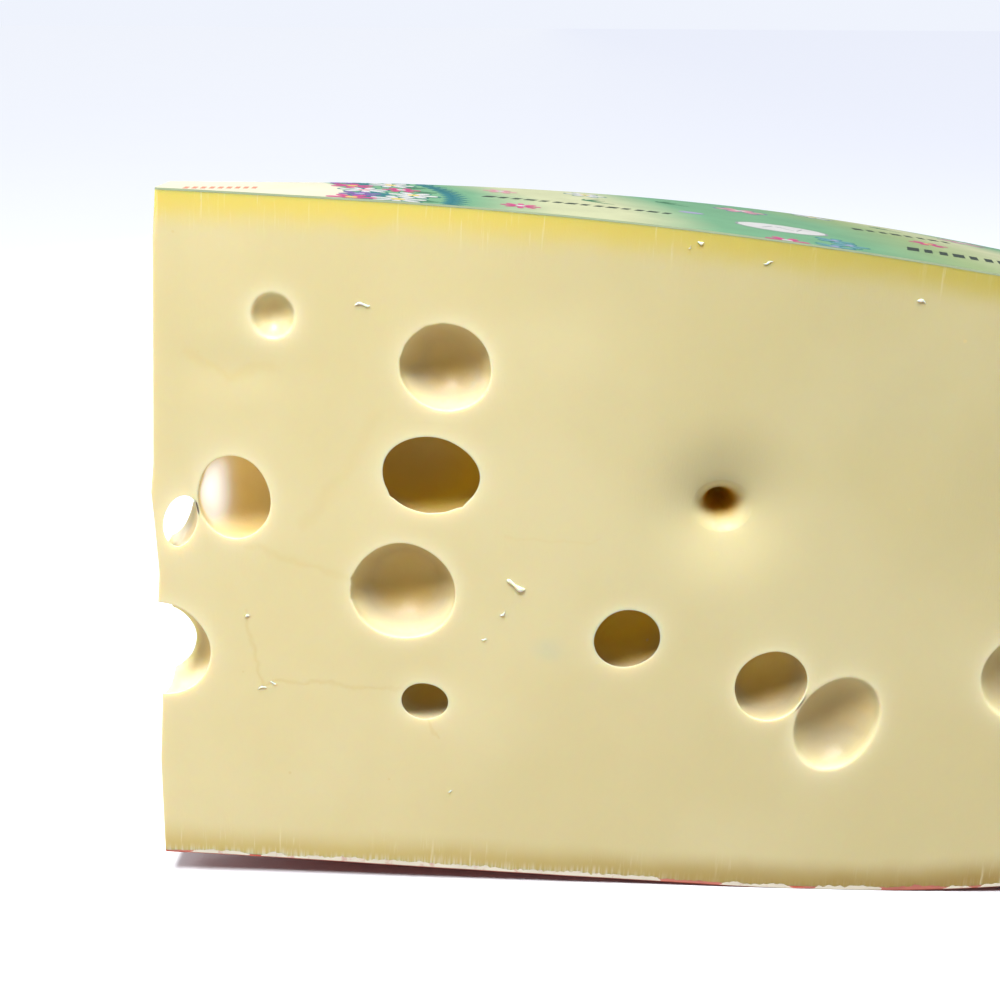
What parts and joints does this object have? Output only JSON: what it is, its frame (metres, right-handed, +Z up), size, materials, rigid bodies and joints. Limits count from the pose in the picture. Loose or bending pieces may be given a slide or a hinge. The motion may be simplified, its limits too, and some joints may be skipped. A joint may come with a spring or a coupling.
{
  "type": "cheese wedge",
  "caption": "Large wedge of pale yellow big-eyed alpine cheese cut from a wheel, with natural rind rim, printed paper label on top and torn red paper label on the base.",
  "frame": {"origin": "on the surface the wedge rests on, under the middle of its bounding box", "axes": "+X from the thin tip towards the rind rim along the front cut face, -Y out of the front cut face, +Z up"},
  "size_m": [0.3956, 0.1984, 0.2406],
  "materials": {
    "cheese": "pale yellow paste cut smooth, faintly moist, with a deeper yellow rind along the top and base",
    "top_paper": "satin printed paper with green, cream and yellow fields, flowers and leaves",
    "base_paper": "matt red printed paper, torn to white fibre along the cut edge"
  },
  "bodies": {
    "root": {"cheese": "cheese", "top_label": "top_paper", "bottom_label": "base_paper"}
  },
  "joints": []
}
